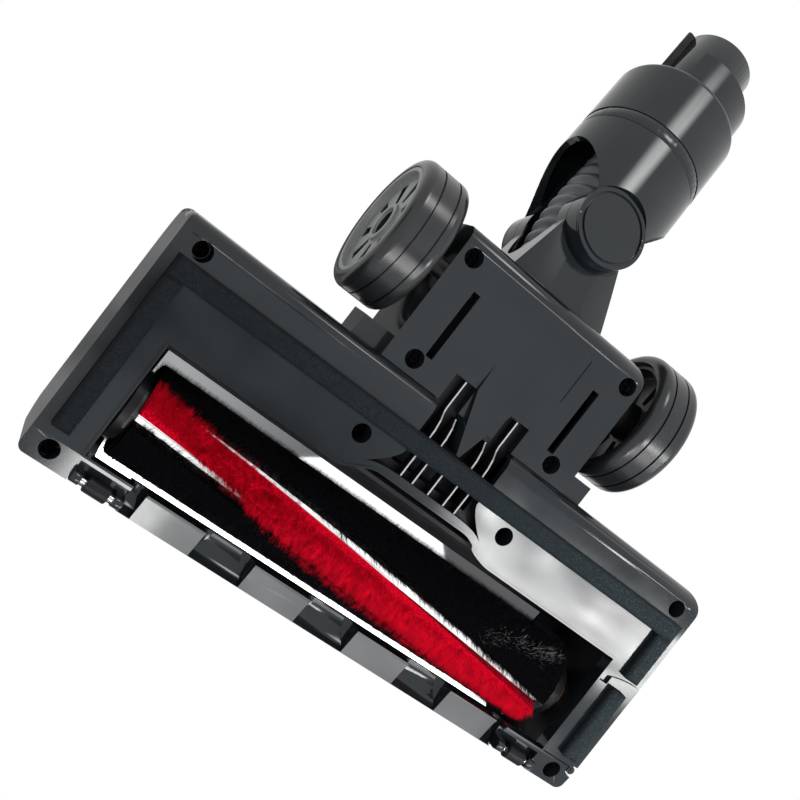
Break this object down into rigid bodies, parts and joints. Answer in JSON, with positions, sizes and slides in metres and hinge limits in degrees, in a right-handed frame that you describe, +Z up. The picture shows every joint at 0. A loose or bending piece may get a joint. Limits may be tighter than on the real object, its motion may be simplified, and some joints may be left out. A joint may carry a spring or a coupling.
{
  "type": "vacuum brush head",
  "caption": "Motorised floor head for a stick vacuum, with a spiral brush under a clear hood, felt strips, wheels, and a tilting, swinging neck with a ribbed hose.",
  "frame": {"origin": "middle of the footprint, on the floor under the head and neck", "axes": "+Z up in use, -Y towards the front bumper, +Y towards the neck, +X towards the brush drive end"},
  "size_m": [0.25, 0.2861, 0.0995],
  "materials": {
    "shell": "gloss black shell with a cool tint",
    "dark_plastic": "black moulded plastic",
    "clear_hood": "clear moulded hood",
    "felt": "dark flocked felt",
    "tyre": "satin dark grey tread",
    "wheel_rim": "satin dark plastic",
    "rubber": "black belt rubber",
    "core": "white brush core",
    "plush": "red plush pile",
    "bristle": "black nylon bristle",
    "hose": "ribbed grey hose",
    "steel": "plain steel",
    "bronze": "sintered bush"
  },
  "bodies": {
    "head": {"sole_plate": "shell", "head_top_cover": "shell", "brush_window": "clear_hood", "chamber_liner": "dark_plastic", "airway_duct": "dark_plastic", "mouth_ribs": "dark_plastic", "felt_strip_rear": "felt", "felt_strip_left": "felt", "felt_strip_right": "felt", "rear_bottom_plate": "shell", "rear_top_cover": "shell", "drive_motor": "steel", "drive_belt": "rubber", "head_screws": "steel", "rear_screws": "steel", "wheel_axle_left": "steel", "wheel_axle_right": "steel", "roller_pin_left": "steel", "roller_pin_right": "steel", "door_hinge_pin": "steel", "brush_bush_left": "bronze", "brush_bush_right": "bronze"},
    "brush": {"brush_core": "core", "red_plush_rows": "plush", "black_bristle_rows": "bristle", "drive_hub": "dark_plastic", "end_hub": "dark_plastic", "brush_pulley": "dark_plastic"},
    "motor_rotor": {"motor_pulley": "steel"},
    "roller_left": {"front_roller_left": "dark_plastic"},
    "roller_right": {"front_roller_right": "dark_plastic"},
    "wheel_left": {"wheel_tyre_left": "tyre", "wheel_hub_left": "wheel_rim", "wheel_screw_left": "steel"},
    "wheel_right": {"wheel_tyre_right": "tyre", "wheel_hub_right": "wheel_rim", "wheel_screw_right": "steel"},
    "door": {"end_door": "shell", "felt_strip_door": "felt"},
    "neck": {"knuckle": "shell", "hose_cuff_lower": "dark_plastic", "corrugated_hose": "hose"},
    "tube": {"hose_cuff_upper": "dark_plastic", "fork_tube": "shell", "accent_ring": "shell", "upper_sleeve": "shell", "wand_spigot": "shell", "contact_rib": "dark_plastic", "contact_pins": "bronze", "pivot_pin_lower": "steel", "pivot_pin_upper": "steel", "pivot_cap_lower": "shell", "pivot_cap_upper": "shell"}
  },
  "joints": [
    {"name": "brush_spin", "type": "hinge", "parent": "head", "child": "brush", "pos_m": [0, -0.11405, 0.0225], "axis": [1, 0, 0], "continuous": true},
    {"name": "motor_spin", "type": "hinge", "parent": "head", "child": "motor_rotor", "pos_m": [0, -0.06585, 0.025], "axis": [1, 0, 0], "continuous": true},
    {"name": "roller_left_spin", "type": "hinge", "parent": "head", "child": "roller_left", "pos_m": [0.096, -0.13985, 0.003], "axis": [1, 0, 0], "continuous": true},
    {"name": "roller_right_spin", "type": "hinge", "parent": "head", "child": "roller_right", "pos_m": [-0.096, -0.13985, 0.003], "axis": [1, 0, 0], "continuous": true},
    {"name": "wheel_left_spin", "type": "hinge", "parent": "head", "child": "wheel_left", "pos_m": [0, -0.00985, 0.0277], "axis": [1, 0, 0], "continuous": true},
    {"name": "wheel_right_spin", "type": "hinge", "parent": "head", "child": "wheel_right", "pos_m": [0, -0.00985, 0.0277], "axis": [1, 0, 0], "continuous": true},
    {"name": "end_door_hinge", "type": "hinge", "parent": "head", "child": "door", "pos_m": [-0.1232, -0.13345, 0.004], "axis": [0, 0, 1], "range_deg": [0, 100]},
    {"name": "neck_tilt", "type": "hinge", "parent": "head", "child": "neck", "pos_m": [0, -0.00985, 0.0277], "axis": [1, 0, 0], "range_deg": [0, 62]},
    {"name": "neck_swing", "type": "hinge", "parent": "neck", "child": "tube", "pos_m": [0, 0.03185, 0.04408], "axis": [0, -0.3551, 0.9348], "range_deg": [-84.9, 65.1], "deforming": ["corrugated_hose"]}
  ],
  "couplings": [
    {"joint": "motor_spin", "follows": "brush_spin", "ratio": 2}
  ]
}
